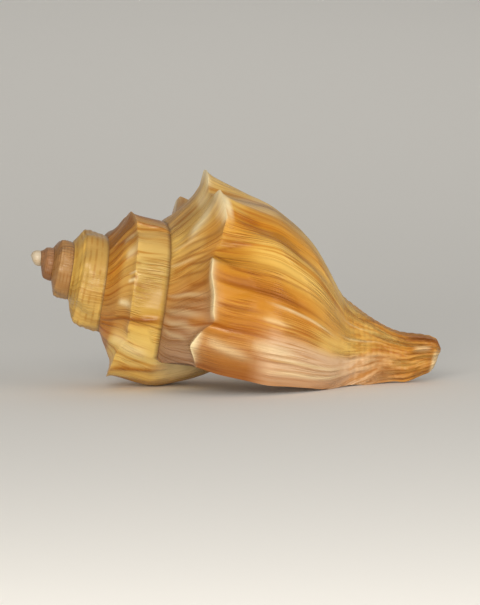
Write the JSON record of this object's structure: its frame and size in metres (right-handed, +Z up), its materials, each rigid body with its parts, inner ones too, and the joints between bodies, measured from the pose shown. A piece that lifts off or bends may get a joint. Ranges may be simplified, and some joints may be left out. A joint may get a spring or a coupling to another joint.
{
  "type": "sea snail shell",
  "caption": "Amber whelk shell, a right-handed spindle with a stepped knobbed spire, a keeled shoulder and a long open canal, lying on its mouth.",
  "frame": {"origin": "on the surface that the shell lies on, under the middle of its bounding box", "axes": "+X runs from the apex toward the tip of the canal, +Z is up, and the side that the picture shows faces -Y"},
  "size_m": [0.1028, 0.0674, 0.0544],
  "materials": {
    "shell": "satin"
  },
  "bodies": {
    "root": {"shell": "shell"}
  },
  "joints": []
}
